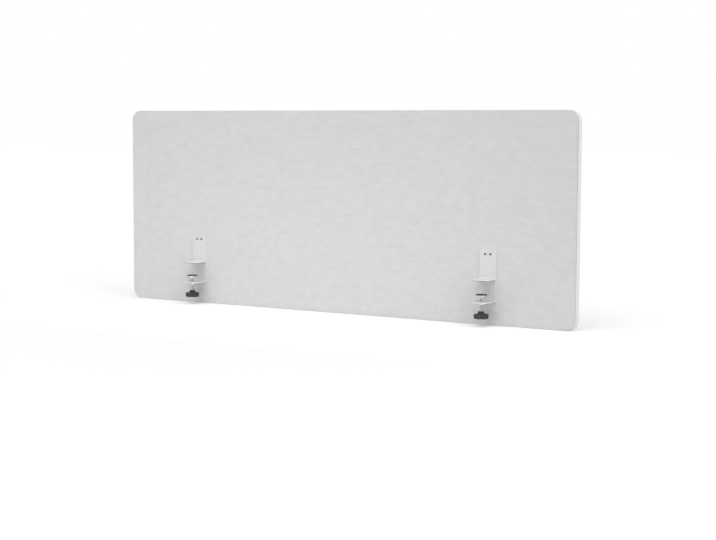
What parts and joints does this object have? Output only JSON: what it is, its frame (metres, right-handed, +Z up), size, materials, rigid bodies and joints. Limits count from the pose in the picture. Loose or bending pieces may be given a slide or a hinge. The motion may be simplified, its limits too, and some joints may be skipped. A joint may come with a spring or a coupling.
{
  "type": "desk divider screen",
  "caption": "Felt-faced desk divider with rounded corners that hangs behind a desk top's rear edge on screw clamps, each with a flat foot above and a swivelling pad below.",
  "frame": {"origin": "middle of the desk top's rear upper edge, level with the foot pads' undersides and on the bracket plates' front plane", "axes": "+X along the desk to its user's right, +Y away from the user, +Z up"},
  "size_m": [1.5, 0.081, 0.58],
  "materials": {
    "panel_felt": "pressed felt, pale grey, faintly mottled",
    "edge_felt": "pressed felt band, pale grey",
    "core_board": "bare fibreboard",
    "bracket_paint": "white powder coat, fine texture",
    "pad_rubber": "matt black rubber",
    "black_steel": "black oxide steel",
    "insert_brass": "plain turned brass",
    "zinc_steel": "bright zinc plate",
    "knob_plastic": "fine-grained black nylon"
  },
  "bodies": {
    "screen": {"core_board": "core_board", "front_felt": "panel_felt", "rear_felt": "panel_felt", "edge_band": "edge_felt", "left_clamp_bracket": "bracket_paint", "left_desk_foot": "bracket_paint", "left_foot_pad": "pad_rubber", "left_panel_screws": "black_steel", "left_threaded_inserts": "insert_brass", "left_clamp_nut": "zinc_steel", "right_clamp_bracket": "bracket_paint", "right_desk_foot": "bracket_paint", "right_foot_pad": "pad_rubber", "right_panel_screws": "black_steel", "right_threaded_inserts": "insert_brass", "right_clamp_nut": "zinc_steel"},
    "left_pad": {"left_swivel_cup": "zinc_steel", "left_cup_facing": "pad_rubber"},
    "left_spindle": {"left_clamp_screw": "zinc_steel", "left_knob": "knob_plastic"},
    "right_pad": {"right_swivel_cup": "zinc_steel", "right_cup_facing": "pad_rubber"},
    "right_spindle": {"right_clamp_screw": "zinc_steel", "right_knob": "knob_plastic"}
  },
  "joints": [
    {"name": "left_pad_rise", "type": "slide", "parent": "screen", "child": "left_pad", "axis": [0, 0, 1], "range_m": [-0.009, 0.016]},
    {"name": "left_spindle_turn", "type": "hinge", "parent": "left_pad", "child": "left_spindle", "pos_m": [-0.49, -0.035, -0.0655], "axis": [0, 0, 1], "range_deg": [-2592, 4608]},
    {"name": "right_pad_rise", "type": "slide", "parent": "screen", "child": "right_pad", "axis": [0, 0, 1], "range_m": [-0.009, 0.016]},
    {"name": "right_spindle_turn", "type": "hinge", "parent": "right_pad", "child": "right_spindle", "pos_m": [0.49, -0.035, -0.0655], "axis": [0, 0, 1], "range_deg": [-2592, 4608]}
  ],
  "couplings": [
    {"joint": "left_spindle_turn", "follows": "left_pad_rise", "rad_per_m": 5026.5},
    {"joint": "right_spindle_turn", "follows": "right_pad_rise", "rad_per_m": 5026.5}
  ]
}
